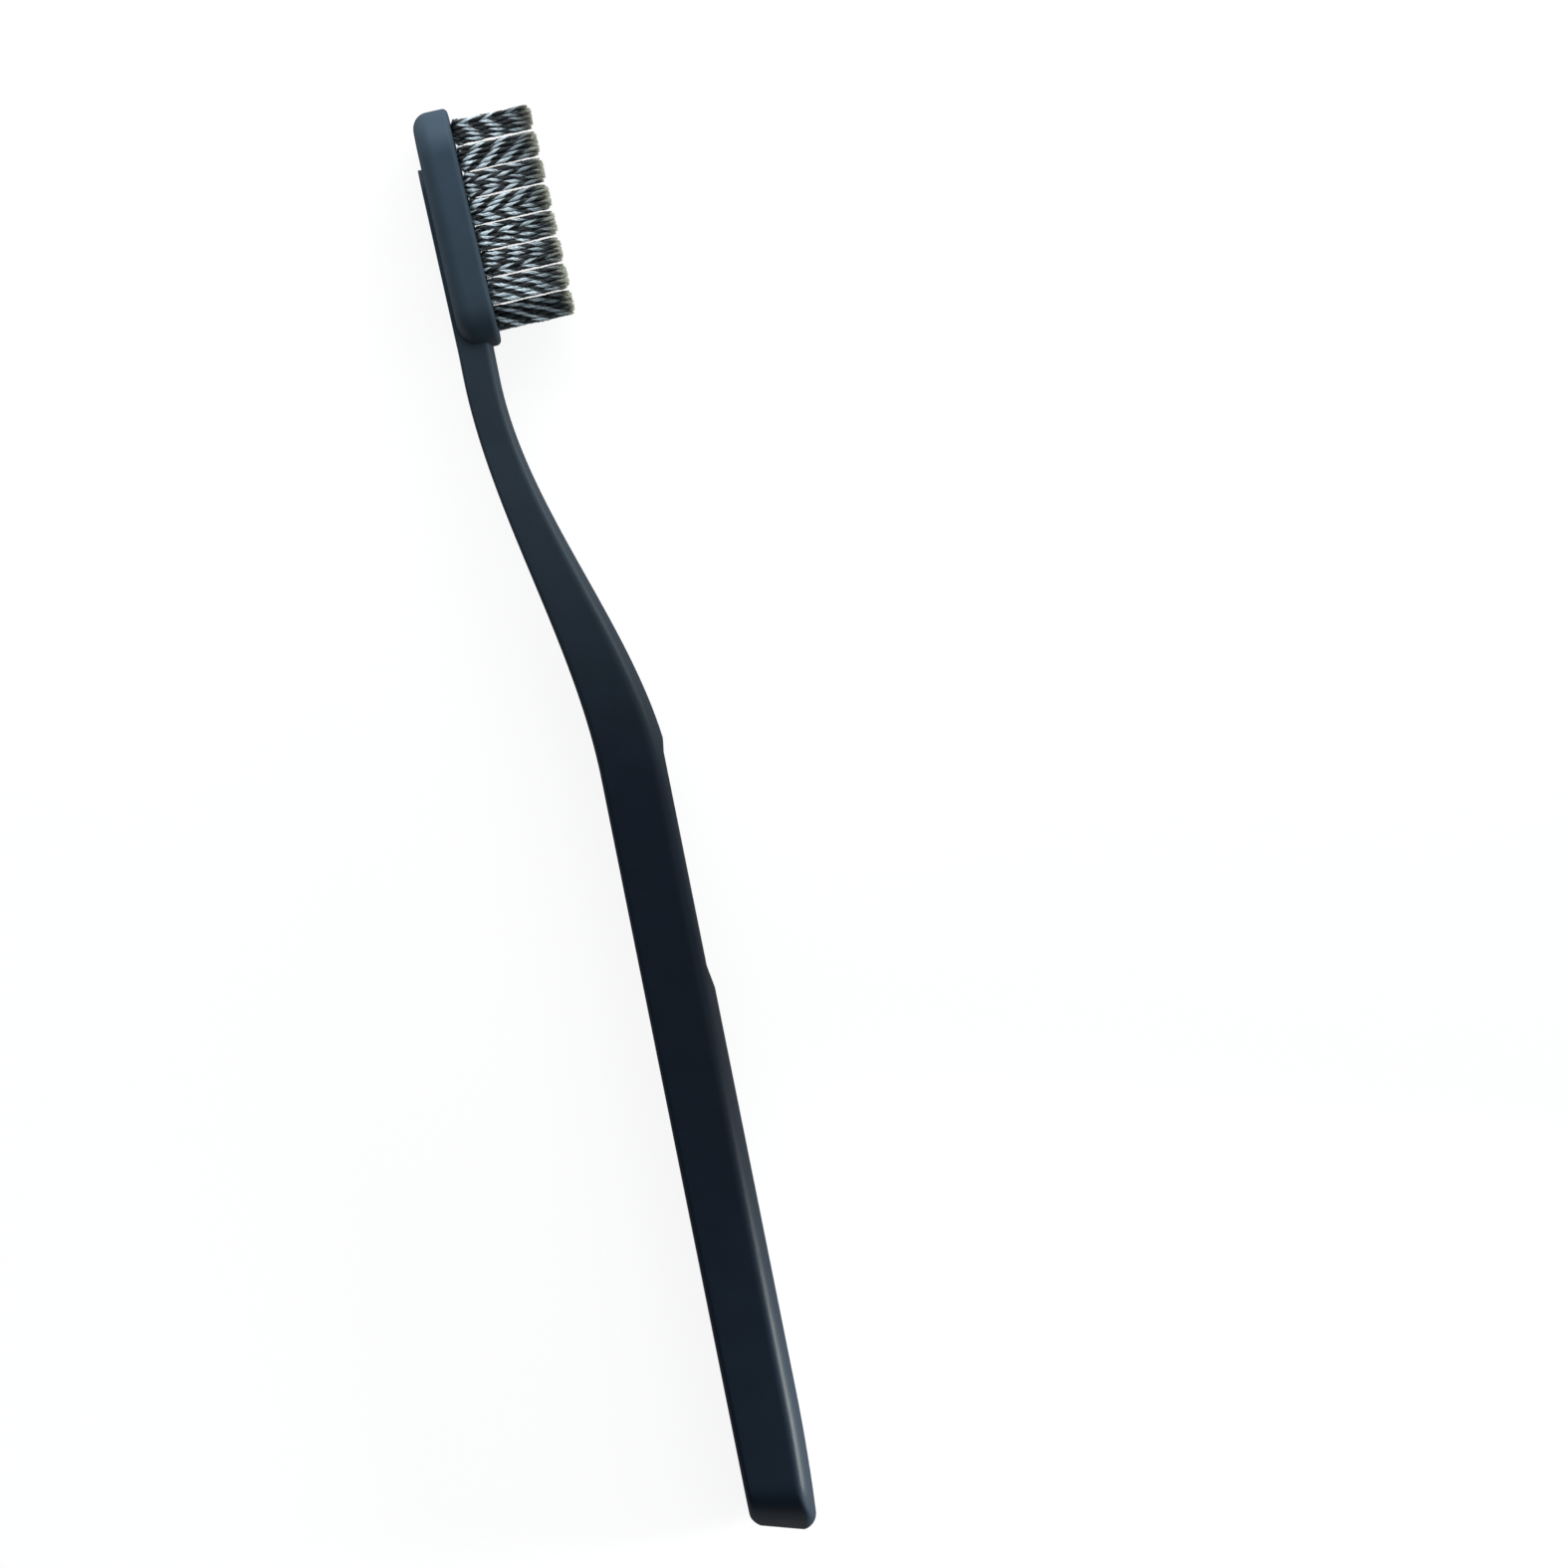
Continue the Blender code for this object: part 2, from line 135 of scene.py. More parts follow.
NECK_STOP, SPINE_START = HEAD_ROOT + 0.0015, HEAD_ROOT + 0.0022
end_round, spine_round = WIDE / 2, NECK_WIDE / 2
print("brush:", BRUSH_LONG * 1000, "mm long, bend from", BEND_START * 1000, "mm")

# %% [markdown]
# Three lines describe the bar: half its width in the front view, and its back and its front
# in the side view. Each is a small formula of the place along the brush. A smooth step makes
# the bend, and quarter circles round the butt. Inside the head the bar goes on as a low
# spine, which shows as a step along the back of the head.


# %% Small curves
def ease(value, start, length):
    """A smooth step from 0 to 1 that begins at start."""
    share = min(max((value - start) / length, 0.0), 1.0)
    return share * share * (3 - 2 * share)


def mix(first, second, share):
    """The value that lies this share of the way from the first to the second."""
    return first + (second - first) * share


def rounded(distance, radius):
    """How far a rounded end corner has drawn in at this distance from the end."""
    if distance >= radius:
        return 0.0
    return radius - math.sqrt(radius**2 - (radius - distance) ** 2)


# %% [markdown]
# The bar keeps its width at the butt, narrows evenly up the grip and then eases into the
# neck. Both ends of it are half-round in the front view. In the bend the front line drops
# further than the back line and starts a little earlier, so the bar thins on its way.


# %% Lines that the side view and the front view follow
def half_width(y):
    taper = min(max((y - PARALLEL_TO) / (NECK_FROM - PARALLEL_TO), 0.0), 1.0)
    half = mix(mix(WIDE, GRIP_TOP_WIDE, taper), NECK_WIDE, ease(y, NECK_FROM, NECK_LONG)) / 2
    if y < end_round:
        half = math.sqrt(end_round**2 - (end_round - y) ** 2)
    if y > SPINE_TO - spine_round:
        half = math.sqrt(max(spine_round**2 - (y - SPINE_TO + spine_round) ** 2, 0.0))
    return half


def back_line(y):
    lean = math.tan(HEAD_TILT) * max(y - HEAD_ROOT, 0.0)
    return rounded(y, BACK_CORNER) - BEND_DROP * ease(y, BEND_START, BEND_LONG) - lean


def front_line(y):
    if y > NECK_STOP:
        return back_line(y) + SPINE_RISE + (HEAD_THICK - HOLE_DEEP) / 2
    taper = BUTT_TAPER_DEEP * max(1 - y / BUTT_TAPER_LONG, 0.0) ** 2
    grip = THICK - rounded(y, FRONT_CORNER) - taper
    return mix(grip, NECK_THICK - BEND_DROP, ease(y, BEND_START - FRONT_LEAD, BEND_LONG))


bend_end = BEND_START + BEND_LONG
thick = [round((front_line(y) - back_line(y)) * 1000, 2) for y in (PARALLEL_TO, bend_end)]
print("thick in the grip and in the neck, mm:", thick)

# %% [markdown]
# The outline starts as a plane that stands across the handle. Two corner bevels meet in the
# middle of its front edge and make the crown. A bevel is as deep as it is wide, so the crown
# is cut while the plane is stretched, and the plane is then squashed to the real thickness.
# A bevel profile of 0.5 is a circle, and a little more makes the crown squarer. Two small
# bevels round the back.

# %% Draw the cross-section
CROWN_SHARE, CROWN_PROFILE, BACK_SHARE = 0.27, 0.58, 0.09
bpy.ops.object.select_all(action="DESELECT")
bpy.ops.mesh.primitive_plane_add(size=WIDE, location=(0, 0, 0), rotation=(math.pi / 2, 0, 0))
handle = bpy.context.object
handle.scale.x = 1 / (2 * CROWN_SHARE)
settle(handle, "moulded_body")
bpy.ops.object.mode_set(mode="EDIT")
pick(handle, "verts", lambda points: points[0].x > 0)
bpy.ops.mesh.bevel(
    affect="VERTICES", offset=WIDE / 2, segments=18, profile=CROWN_PROFILE, clamp_overlap=False
)
merge_doubles()
squash = THICK * CROWN_SHARE * 2 / WIDE
bpy.ops.transform.resize(value=(squash, 1, 1), center_override=(0, 0, 0))
pick(handle, "verts", lambda points: points[0].x < 0)
bpy.ops.mesh.bevel(
    affect="VERTICES", offset=THICK * BACK_SHARE, segments=6, profile=0.5, clamp_overlap=False
)
merge_doubles()
bpy.ops.object.mode_set(mode="OBJECT")
told(handle)

# %% [markdown]
# Now the outline travels. Each step extrudes the face, moves it along the back line and
# resizes it about the back line. Stations say where it stops. They lie close together where
# the shape turns quickly: in the bend, at the round end of the spine, and at the butt, where
# the faces shrink fast in width.

# %% Lay out the stations
GRIP, BUTT_END = 0.02, 0.00002
BUTT_STEPS, BEND_STEPS, SPINE_STEPS = 14, 56, 8
up = [PARALLEL_TO, 0.045, 0.065, 0.08, NECK_FROM]
up += [mix(NECK_FROM, bend_end, step / BEND_STEPS) for step in range(1, BEND_STEPS + 1)]
up += [HEAD_ROOT, NECK_STOP, SPINE_START, SPINE_TO - spine_round]
turns = [math.pi / 2 * step / (SPINE_STEPS + 1) for step in range(1, SPINE_STEPS + 1)]
up += [SPINE_TO - spine_round * (1 - math.sin(turn)) for turn in turns]
down = [0.0175, 0.0155, 0.0135, 0.0118, 0.009, 0.007]
turns = [math.pi / 2 * step / BUTT_STEPS for step in range(BUTT_STEPS, 0, -1)]
down += [end_round * (1 - math.cos(turn)) for turn in turns] + [BUTT_END]
print("stations:", len(up), "towards the head,", len(down), "towards the butt")

# %% [markdown]
# The journey starts in the grip and runs to the head end first, and then the other way to the
# butt. The face that was left behind at the grip is picked again for the way back. At the end
# all faces are told to look outwards.


# %% Extrude the handle from one cross-section to the next
def travel(stations, start):
    """Extrude the selected end face through the stations."""
    before = start
    for y in stations:
        step = (back_line(y) - back_line(before), y - before, 0)
        bpy.ops.mesh.extrude_region_move(TRANSFORM_OT_translate={"value": step})
        thicker = (front_line(y) - back_line(y)) / (front_line(before) - back_line(before))
        wider = half_width(y) / half_width(before)
        middle = (back_line(y), y, 0)
        bpy.ops.transform.resize(value=(thicker, 1, wider), center_override=middle)
        before = y


bpy.ops.object.mode_set(mode="EDIT")
bpy.ops.mesh.select_all(action="SELECT")
bpy.ops.transform.translate(value=(THICK / 2, GRIP, 0))
travel(up, GRIP)
pick(handle, "faces", lambda points: all(abs(point.y - GRIP) < MERGE for point in points))
travel(down, GRIP)
bpy.ops.mesh.select_all(action="SELECT")
bpy.ops.mesh.normals_make_consistent(inside=False)
bpy.ops.object.mode_set(mode="OBJECT")
told(handle)

# %% [markdown]
# The butt isn't cut square: its front reaches further than its back. A shear does that. The
# shear tool needs a window, so the points are moved here in code, less and less up to a
# width away from the end. The narrow last cross-sections squeezed the crown together, so it
# is first given back half of its curve there. Without that the end would come to a beak.

# %% Slant the butt
BUTT_SLANT, SLANT_PIVOT, CROWN_RETURN = math.radians(16.4), 0.00048, 0.5


def crown_fall(z, half, deep):
    """How far a crown of this depth and half-width has fallen at z."""
    return deep * (1 - math.sqrt(max(1 - (z / half) ** 2, 0.0)))


for vert in handle.data.vertices:
    x, y, z = vert.co
    front, rear = front_line(y), back_line(y)
    if y < end_round:
        deep = CROWN_SHARE * (front - rear)
        squeezed = front - crown_fall(z, half_width(y), deep)
        full = front - crown_fall(z, end_round, deep)
        freed = min(rear + (x - rear) * (full - rear) / (squeezed - rear), full)
        x = max(mix(x, freed, CROWN_RETURN), x)
        vert.co.x = x
    vert.co.y += math.tan(BUTT_SLANT) * max(1 - y / WIDE, 0.0) * (front - SLANT_PIVOT - x)
handle.data.update()
told(handle)

# %% [markdown]
# The head is a block with two half-round ends. It starts as a cube. A wide bevel on its four
# short edges makes the ends, a second one makes the soft back and a small one the front rim.
# The head thins a little towards its end, so the block is tapered in code. It is then tipped
# by its small tilt, about the root of the head.

# %% Model the head block
HEAD_SEAT, HEAD_TAPER = (SPINE_RISE - BEND_DROP, HEAD_ROOT, 0), 0.07
HEAD_BACK_ROUND, HEAD_RIM_ROUND = 0.0022, 0.0007
bpy.ops.object.select_all(action="DESELECT")
bpy.ops.mesh.primitive_cube_add(size=1, location=(HEAD_THICK / 2, HEAD_LONG / 2, 0))
head = bpy.context.object
head.scale = (HEAD_THICK, HEAD_LONG, HEAD_WIDE)
settle(head, "head_block")
bpy.ops.object.mode_set(mode="EDIT")
pick(head, "edges", lambda points: abs(points[0].x - points[1].x) > HEAD_THICK / 2)
bpy.ops.mesh.bevel(offset=HEAD_WIDE / 2, segments=20, profile=0.5, clamp_overlap=False)
merge_doubles()
pick(head, "edges", lambda points: all(point.x < MERGE for point in points))
bpy.ops.mesh.bevel(offset=HEAD_BACK_ROUND, segments=9, profile=0.5, clamp_overlap=False)
pick(head, "edges", lambda points: all(point.x > HEAD_THICK - MERGE for point in points))
bpy.ops.mesh.bevel(offset=HEAD_RIM_ROUND, segments=5, profile=0.5, clamp_overlap=False)
bpy.ops.object.mode_set(mode="OBJECT")
for vert in head.data.vertices:
    vert.co.x *= 1 - HEAD_TAPER * vert.co.y / HEAD_LONG
head.location = HEAD_SEAT
head.rotation_euler.z = HEAD_TILT
settle(head, "head_block")
told(head)

# %% [markdown]
# Each tuft sits in a blind hole. The holes lie in eight rows of four, with two in the first
# and last rows, where the head is round. Row 1 is at the tip. The sites are worked out once,
# in the head's own frame, and serve the drills now and the bristles later.

# %% Lay out the tuft holes
ROW_COUNTS = (2, 4, 4, 4, 4, 4, 4, 2)
END_MARGIN, SIDE_MARGIN, HOLE_WIDE = 0.00345, 0.002, 0.0019
ROW_PITCH = (HEAD_LONG - 2 * END_MARGIN) / (len(ROW_COUNTS) - 1)
COLUMN_PITCH = (HEAD_WIDE - 2 * SIDE_MARGIN) / (max(ROW_COUNTS) - 1)
head_place = Matrix.Translation(HEAD_SEAT) @ Matrix.Rotation(HEAD_TILT, 4, "Z")
sites = {}
for row, count in enumerate(ROW_COUNTS):
    for column in range(count):
        along = HEAD_LONG - END_MARGIN - row * ROW_PITCH
        across = (column - (count - 1) / 2) * COLUMN_PITCH
        sites[f"r{row + 1}_c{column + 1}"] = Vector((HEAD_THICK, along, across))
print("holes:", len(sites), "rows", round(ROW_PITCH * 1000, 2), "mm apart")

# %% [markdown]
# One drill is modelled as a cylinder, copied to every site and joined to the others. A
# Boolean modifier then takes them all out of the head at once. That is quicker than one
# Boolean for each hole, and the drills don't touch each other, so the result is the same.


# %% Drill the tuft holes
def copied(piece, name):
    """A copy with its own mesh."""
    other = piece.copy()
    other.data = piece.data.copy()
    other.name = name
    other.data.name = name
    bpy.context.collection.objects.link(other)
    return other


def joined(pieces, name):
    """Join pieces into the first of them."""
    take(*pieces)
    bpy.ops.object.join()
    return settle(bpy.context.object, name)


def use_modifier(piece, kind, **settings):
    """Add a modifier with these settings and apply it."""
    take(piece)
    modifier = piece.modifiers.new(kind.lower(), kind)
    for key, value in settings.items():
        setattr(modifier, key, value)
    bpy.ops.object.modifier_apply(modifier=modifier.name)


bpy.ops.object.select_all(action="DESELECT")
bpy.ops.mesh.primitive_cylinder_add(
    vertices=28, radius=HOLE_WIDE / 2, depth=2 * HOLE_DEEP, rotation=(0, math.pi / 2, 0)
)
drill = settle(bpy.context.object, "drill")
drills = []
for suffix, site in sites.items():
    drills.append(copied(drill, f"drill_{suffix}"))
    drills[-1].matrix_world = head_place @ Matrix.Translation(site)
bpy.data.objects.remove(drill)
drill_set = joined(drills, "drill_set")
use_modifier(head, "BOOLEAN", operation="DIFFERENCE", solver="EXACT", object=drill_set)
bpy.data.objects.remove(drill_set)
told(head)

# %% [markdown]
# Head and handle are one moulding, so a union makes one closed skin of the two, and what lay
# inside the other disappears. The thumb rest is a shallow flat in the crown, with soft
# half-round ends. Its cutter is a slab with the same ends as the head block. The floor of the
# slab is made smaller than its top, so the rest runs out in a slope instead of a sharp step.

# %% Join head and handle, and cut the thumb rest
REST_DEEP, REST_LONG, REST_WIDE, REST_TO, REST_SLOPE = 0.00054, 0.0345, 0.0106, 0.1052, 0.0008
use_modifier(handle, "BOOLEAN", operation="UNION", solver="EXACT", object=head)
bpy.data.objects.remove(head)
rest_middle = (THICK, REST_TO - REST_LONG / 2, 0)
bpy.ops.object.select_all(action="DESELECT")
bpy.ops.mesh.primitive_cube_add(size=1, location=rest_middle)
cutter = bpy.context.object
cutter.scale = (2 * REST_DEEP, REST_LONG, REST_WIDE)
settle(cutter, "rest_cutter")
bpy.ops.object.mode_set(mode="EDIT")
pick(cutter, "edges", lambda points: abs(points[0].x - points[1].x) > REST_DEEP)
bpy.ops.mesh.bevel(offset=REST_WIDE / 2, segments=20, profile=0.5, clamp_overlap=False)
merge_doubles()
pick(cutter, "faces", lambda points: all(point.x < THICK for point in points))
shorter, narrower = ((size - 2 * REST_SLOPE) / size for size in (REST_LONG, REST_WIDE))
bpy.ops.transform.resize(value=(1, shorter, narrower), center_override=rest_middle)
bpy.ops.object.mode_set(mode="OBJECT")
use_modifier(handle, "BOOLEAN", operation="DIFFERENCE", solver="EXACT", object=cutter)
bpy.data.objects.remove(cutter)
told(handle)

# %% [markdown]
# The moulding goes to its place and is shaded smooth, but edges over 24 degrees stay sharp,
# such as the step where the head meets the neck. The large flat faces would still catch a
# false gradient from the small ones beside them. A Weighted Normal modifier lets the large
# faces decide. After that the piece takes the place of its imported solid.

# %% Shade the moulding and put it in place of its solid
handle.location = ORIGIN
settle(handle, "moulded_body")
bpy.ops.object.shade_smooth_by_angle(angle=math.radians(24))
use_modifier(handle, "WEIGHTED_NORMAL", keep_sharp=True, weight=80)
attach(handle, "root")
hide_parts("brush_body")
told(handle)

# %% [markdown]
# ## The finish of the plastic
#
# The plastic is a satin blue-black with the very fine grain of an etched mould. It is greyer
# and lighter at the head, partly in the tone of the plastic and partly as painted light from
# beyond the head. No real surface is quite even, so every finish here has the same three
# effects at its own scale: an uneven tint, an uneven gloss and a fine grain. They come from
# noise, and they are made once, as a shader node group.
#
# Two helpers keep the node code short: one adds a node with its settings, the other links
# nodes.


# %% Helpers for shader nodes
def add_node(tree, kind, **settings):
    """Add a node, with settings for its own properties or, by name, for its inputs."""
    node = tree.nodes.new(kind)
    for key, value in settings.items():
        if key in node.inputs:
            node.inputs[key].default_value = value
        else:
            setattr(node, key, value)
    return node


def wire(tree, *links):
    """Link nodes. A link is a node, its output, the next node and the input there."""
    for giver, output, taker, entry in links:
        tree.links.new(giver.outputs[output], taker.inputs[entry])


# %% [markdown]
# A node group has its own sockets. What goes in are the place on the surface, the scales of
# the two noises, the range of the gloss, and a colour to make uneven. What comes out goes
# straight into the sockets of a material's shader.

# %% Declare what goes in and out of the surface effect
breakup = bpy.data.node_groups.new("surface_breakup", "ShaderNodeTree")
BREAKUP_INPUTS = (
    ("Vector", "NodeSocketVector", None),
    ("Patch Scale", "NodeSocketFloat", 300.0),
    ("Grain Scale", "NodeSocketFloat", 5000.0),
    ("Grain Depth", "NodeSocketFloat", 0.1),
    ("Smoothest", "NodeSocketFloat", 0.3),
    ("Roughest", "NodeSocketFloat", 0.5),
    ("Color", "NodeSocketColor", None),
    ("Unevenness", "NodeSocketFloat", 0.1),
)
BREAKUP_OUTPUTS = (
    ("Color", "NodeSocketColor"),
    ("Patches", "NodeSocketFloat"),
    ("Roughness", "NodeSocketFloat"),
    ("Normal", "NodeSocketVector"),
)
for name, kind, start in BREAKUP_INPUTS:
    socket = breakup.interface.new_socket(name=name, in_out="INPUT", socket_type=kind)
    if start is not None:
        socket.default_value = start
for name, kind in BREAKUP_OUTPUTS:
    breakup.interface.new_socket(name=name, in_out="OUTPUT", socket_type=kind)
print("surface effect:", len(BREAKUP_INPUTS), "inputs,", len(BREAKUP_OUTPUTS), "outputs")

# %% [markdown]
# Inside, a wide noise makes soft patches. They spread the roughness between the smoothest and
# the roughest value, and they scale the colour a little up and down around 1. A much finer
# noise is the grain. It drives a Bump node, which tilts the normals without any new faces.

# %% Build the surface effect
GRAIN_HEIGHT = 0.00002
given = add_node(breakup, "NodeGroupInput")
result = add_node(breakup, "NodeGroupOutput")
patches = add_node(breakup, "ShaderNodeTexNoise", Detail=3.0)
grain = add_node(breakup, "ShaderNodeTexNoise", Detail=2.0)
gloss = add_node(breakup, "ShaderNodeMapRange")
centred = add_node(breakup, "ShaderNodeMath", operation="SUBTRACT")
centred.inputs[1].default_value = 0.5
shift = add_node(breakup, "ShaderNodeMath", operation="MULTIPLY_ADD")
shift.inputs[2].default_value = 1.0
tinted = add_node(breakup, "ShaderNodeVectorMath", operation="SCALE")
bump = add_node(breakup, "ShaderNodeBump", Distance=GRAIN_HEIGHT)
wire(
    breakup,
    (given, "Vector", patches, "Vector"),
    (given, "Vector", grain, "Vector"),
    (given, "Patch Scale", patches, "Scale"),
    (given, "Grain Scale", grain, "Scale"),
    (patches, "Fac", gloss, "Value"),
    (given, "Smoothest", gloss, "To Min"),
    (given, "Roughest", gloss, "To Max"),
    (grain, "Fac", bump, "Height"),
    (given, "Grain Depth", bump, "Strength"),
    (patches, "Fac", centred, 0),
    (centred, "Value", shift, 0),
    (given, "Unevenness", shift, 1),
    (given, "Color", tinted, 0),
    (shift, "Value", tinted, "Scale"),
    (tinted, "Vector", result, "Color"),
    (patches, "Fac", result, "Patches"),
    (gloss, "Result", result, "Roughness"),
    (bump, "Normal", result, "Normal"),
)
print("surface effect:", len(breakup.nodes), "nodes")

# %% [markdown]
# Every material starts the same way: its own shader, the surface effect with its own values,
# and Object coordinates, which are metres on a finished piece. A colour ramp turns a value
# between 0 and 1 into a colour, and both the plastic and the bristles use one.


# %% Helpers for a finish
def new_finish(name, **values):
    """A material with the surface effect in it. Returns material, tree, shader and effect."""
    material = bpy.data.materials.new(name)
    material.use_nodes = True
    tree = material.node_tree
    shader = tree.nodes["Principled BSDF"]
    effect = add_node(tree, "ShaderNodeGroup", node_tree=breakup)
    for key, value in values.items():
        effect.inputs[key.replace("_", " ").title()].default_value = value
    place = add_node(tree, "ShaderNodeTexCoord")
    wire(
        tree,
        (place, "Object", effect, "Vector"),
        (effect, "Color", shader, "Base Color"),
        (effect, "Roughness", shader, "Roughness"),
        (effect, "Normal", shader, "Normal"),
    )
    return material, tree, shader, effect


def colour_ramp(tree, stops):
    """A colour ramp from pairs of place and colour, in rising order."""
    ramp = add_node(tree, "ShaderNodeValToRGB")
    for index, (position, colour) in enumerate(stops):
        if index > 1:
            ramp.color_ramp.elements.new(position)
        ramp.color_ramp.elements[index].position = position
        ramp.color_ramp.elements[index].color = (*colour, 1)
    return ramp


# %% [markdown]
# The colour follows the length of the brush. A Mapping node moves the pattern so that it
# starts at the butt, and a colour ramp runs from blue-black at the grip to slate at the head.
# The lighter slate at the head is partly painted light, as if the head were lit from beyond it.

# %% Colour the plastic, with painted light towards the head
plastic, tree, shader, effect = new_finish(
    "charcoal_plastic",
    patch_scale=260.0,
    grain_scale=5200.0,
    grain_depth=0.35,
    smoothest=0.4,
    roughest=0.5,
    unevenness=0.3,
)
# These stops are partly the slate tone of the plastic and partly painted light: they grow
# lighter towards the head as if it were lit from beyond.
PLASTIC_AND_PAINTED_LIGHT_STOPS = (
    (0.50, (0.0055, 0.0108, 0.0195)),
    (0.80, (0.0245, 0.0365, 0.0495)),
    (0.90, (0.038, 0.062, 0.0855)),
    (0.99, (0.0455, 0.0735, 0.102)),
)
place = add_node(tree, "ShaderNodeTexCoord")
along = add_node(tree, "ShaderNodeMapping")
along.inputs["Location"].default_value = (0, -ORIGIN.y / BRUSH_LONG, 0)
along.inputs["Scale"].default_value = (1, 1 / BRUSH_LONG, 1)
parts = add_node(tree, "ShaderNodeSeparateXYZ")
ramp = colour_ramp(tree, PLASTIC_AND_PAINTED_LIGHT_STOPS)
ramp.color_ramp.interpolation = "EASE"
wire(
    tree,
    (place, "Object", along, "Vector"),
    (along, "Vector", parts, "Vector"),
    (parts, "Y", ramp, "Fac"),
    (ramp, "Color", effect, "Color"),
)
handle.data.materials.clear()
handle.data.materials.append(plastic)
print(plastic.name, "stops:", len(PLASTIC_AND_PAINTED_LIGHT_STOPS))

# %% [markdown]
# Satin plastic reflects little where it is looked at square, but at a glancing angle it would
# mirror the white floor like a polished one. On the real handle that edge stays dark and
# soft. A low IOR keeps the reflection weak, and a Layer Weight node, which rises towards the
# edges of a shape, makes the surface rougher there.

# %% Keep the edges of the plastic soft
EDGE_POWER, EDGE_ROUGHNESS = 2.0, 0.55
shader.inputs["IOR"].default_value = 1.25
shader.inputs["Specular IOR Level"].default_value = 0.4
glance = add_node(tree, "ShaderNodeLayerWeight", Blend=0.5)
steep = add_node(tree, "ShaderNodeMath", operation="POWER")
steep.inputs[1].default_value = EDGE_POWER
blurred = add_node(tree, "ShaderNodeMath", operation="MULTIPLY_ADD")
blurred.inputs[1].default_value = EDGE_ROUGHNESS
wire(
    tree,
    (glance, "Facing", steep, 0),
    (steep, "Value", blurred, 0),
    (effect, "Roughness", blurred, 2),
    (blurred, "Value", shader, "Roughness"),
)
print(plastic.name, "nodes:", len(tree.nodes))

# %% [markdown]
# ## The bristles
#
# The real bristles are fine nylon filaments, black and white, that are crimped together, so
# each group of white ones shows as a row of short slanting flashes. A twist does the same
# job: straight filaments stand round an axis, two or three neighbours of them white, and a
# Simple Deform modifier twists the bundle like a rope.
#
# One filament is a three-sided cylinder that is extruded in short lengths, so that it can
# bend, with a fine tip. It is repeated almost three thousand times, so it has only a few
# dozen faces. Smooth shading hides them.

# %% Model one filament
BRISTLE_LONG, ROOT_LONG = 0.0103, 0.0006
FILAMENT_WIDE, FILAMENT_STEPS = 0.00025, 19
FIRST_LONG, TIP_LONG, TIP_SHARES = 0.0002, 0.0008, (0.8, 0.5)
start = FIRST_LONG / 2 - ROOT_LONG
bpy.ops.object.select_all(action="DESELECT")
bpy.ops.mesh.primitive_cylinder_add(
    vertices=3, radius=FILAMENT_WIDE / 2, depth=FIRST_LONG, location=(0, 0, start)
)
filament = settle(bpy.context.object, "filament")
bpy.ops.object.mode_set(mode="EDIT")
pick(filament, "faces", lambda points: all(point.z > start for point in points))
straight = BRISTLE_LONG - TIP_LONG - FIRST_LONG + ROOT_LONG
for step in range(FILAMENT_STEPS):
    length = straight / FILAMENT_STEPS
    bpy.ops.mesh.extrude_region_move(TRANSFORM_OT_translate={"value": (0, 0, length)})
for share in TIP_SHARES:
    bpy.ops.mesh.extrude_region_move(TRANSFORM_OT_translate={"value": (0, 0, TIP_LONG / 2)})
    bpy.ops.transform.resize(value=(share, share, 1), center_override=(0, 0, 0))
bpy.ops.object.mode_set(mode="OBJECT")
bpy.ops.object.shade_smooth()
told(filament)

# %% [markdown]
# The colour of a filament changes with its height over the head. A white one is dim in the
# shade between the roots, bright over its lower half, dims again higher up and ends in a dull
# olive tip. A Mapping node of the type Texture turns the place into that height, where 0 is
# the face of the head and 1 the trimmed ends. Some noise is added to the height, so no two
# filaments change alike.


# %% Helper for the nylon
def nylon(name, *stops):
    """A filament finish with a colour ramp over its height, from pairs of height and colour."""
    material, tree, shader, effect = new_finish(
        name,
        patch_scale=900.0,
        grain_scale=4000.0,
        grain_depth=0.1,
        smoothest=0.3,
        roughest=0.45,
    )
    blur = 0.16
    place = add_node(tree, "ShaderNodeTexCoord")
    face = add_node(tree, "ShaderNodeMapping", vector_type="TEXTURE")
    foot = Matrix.Translation(ORIGIN) @ head_place @ Vector((HEAD_THICK, 0, 0))
    face.inputs["Location"].default_value = foot
    face.inputs["Rotation"].default_value = (0, 0, HEAD_TILT)
    face.inputs["Scale"].default_value = (BRISTLE_LONG, BRISTLE_LONG, BRISTLE_LONG)
    parts = add_node(tree, "ShaderNodeSeparateXYZ")
    uneven = add_node(tree, "ShaderNodeMath", operation="MULTIPLY_ADD")
    uneven.inputs[1].default_value = blur
    height = add_node(tree, "ShaderNodeMath", operation="SUBTRACT")
    height.inputs[1].default_value = blur / 2
    ramp = colour_ramp(tree, stops)
    wire(
        tree,
        (place, "Object", face, "Vector"),
        (face, "Vector", parts, "Vector"),
        (effect, "Patches", uneven, 0),
        (parts, "X", uneven, 2),
        (uneven, "Value", height, 0),
        (height, "Value", ramp, "Fac"),
        (ramp, "Color", shader, "Base Color"),
    )
    return material


# %% [markdown]
# Both finishes are written as pairs of height and colour. A black filament stays nearly black
# up to its tip. A white one carries the changes, with a slightly blue white as its brightest.

# %% Finish the nylon
dark_nylon = nylon(
    "black_nylon",
    (0.0, (0.006, 0.010, 0.013)),
    (0.84, (0.012, 0.018, 0.023)),
    (0.92, (0.07, 0.075, 0.062)),
    (1.0, (0.28, 0.29, 0.22)),
)
light_nylon = nylon(
    "white_nylon",
    (0.0, (0.10, 0.13, 0.14)),
    (0.06, (0.64, 0.76, 0.82)),
    (0.50, (0.68, 0.79, 0.84)),
    (0.74, (0.28, 0.36, 0.40)),
    (0.88, (0.17, 0.19, 0.18)),
    (1.0, (0.47, 0.48, 0.38)),
)
print("nylon:", dark_nylon.name, light_nylon.name)

